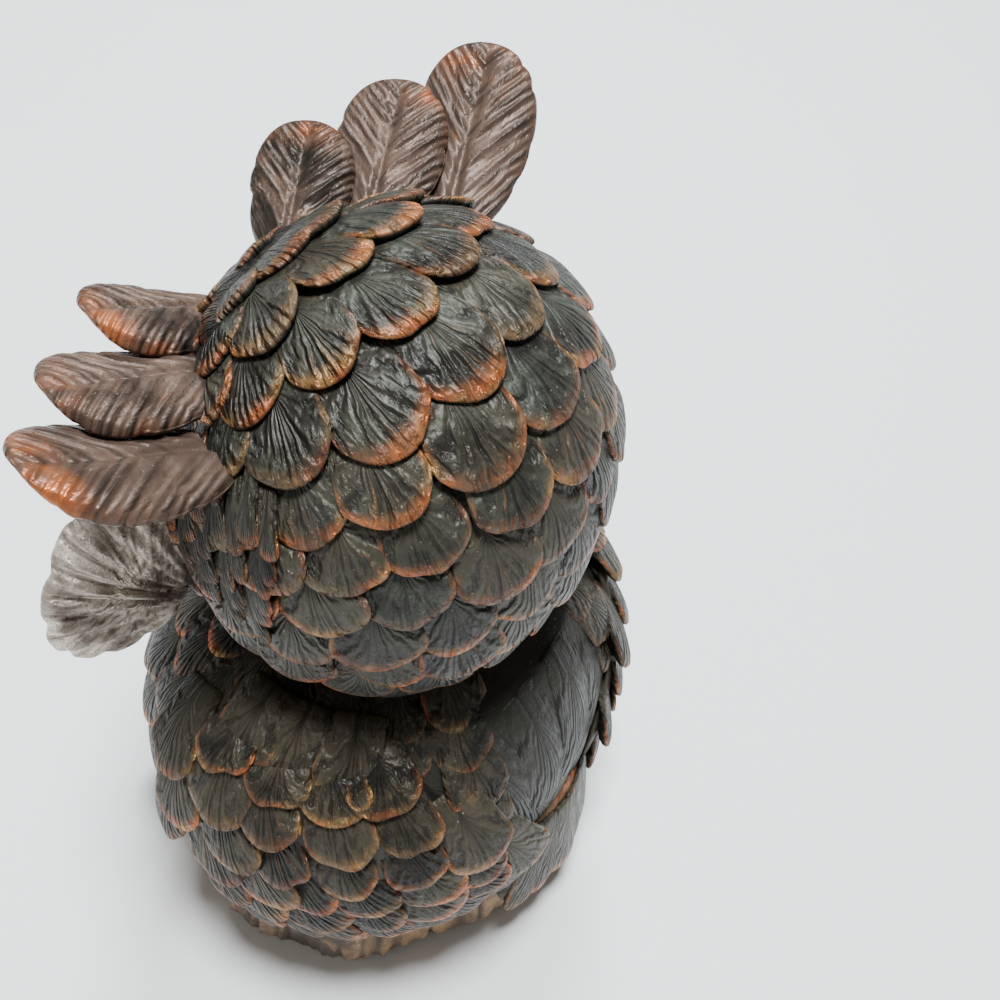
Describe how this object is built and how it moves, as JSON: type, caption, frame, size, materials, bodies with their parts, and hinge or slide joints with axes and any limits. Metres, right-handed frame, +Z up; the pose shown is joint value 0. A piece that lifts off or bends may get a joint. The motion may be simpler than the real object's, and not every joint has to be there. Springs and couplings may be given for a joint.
{
  "type": "owl figurine",
  "caption": "Cast owl figurine on a tree-stump base, with a hood of scalloped feathers, leaf-shaped ear feathers, folded wings and a felt underside.",
  "frame": {"origin": "centre of the felt's underside, on the surface that the figurine stands on", "axes": "+Z up; the owl faces -Y; its left wing is towards +X"},
  "size_m": [0.1326, 0.1125, 0.1998],
  "materials": {
    "felt": "short-pile green-grey felt",
    "bark": "cast resin stone, warm brown bark wash, matt",
    "patina": "cast resin stone, green-black patina with copper rubbed rims, satin",
    "crown_patina": "cast resin stone, green-black patina with copper rubbed rims, satin",
    "wing_patina": "cast resin stone, dark olive patina with copper rubbed rims, satin",
    "tuft_patina": "cast resin stone, brown-purple patina with copper edges, satin",
    "cheek_bronze": "cast resin stone, pale brushed bronze, satin",
    "face_bronze": "cast resin stone, brushed bronze, satin",
    "beak_horn": "cast resin stone, near-black, semi-gloss",
    "foot_bronze": "cast resin stone, brown bronze, satin",
    "amber_glass": "amber glass, gloss"
  },
  "bodies": {
    "root": {"felt_pad": "felt", "stump_base": "bark", "body_casting": "patina", "head_casting": "crown_patina", "face_mask": "face_bronze", "beak": "beak_horn", "left_eye": "amber_glass", "right_eye": "amber_glass", "left_cheek_fan": "cheek_bronze", "right_cheek_fan": "cheek_bronze", "left_ear_feather_front": "tuft_patina", "left_ear_feather_middle": "tuft_patina", "left_ear_feather_rear": "tuft_patina", "right_ear_feather_front": "tuft_patina", "right_ear_feather_middle": "tuft_patina", "right_ear_feather_rear": "tuft_patina", "left_wing": "wing_patina", "right_wing": "wing_patina", "tail": "wing_patina", "left_foot": "foot_bronze", "right_foot": "foot_bronze"}
  },
  "joints": []
}
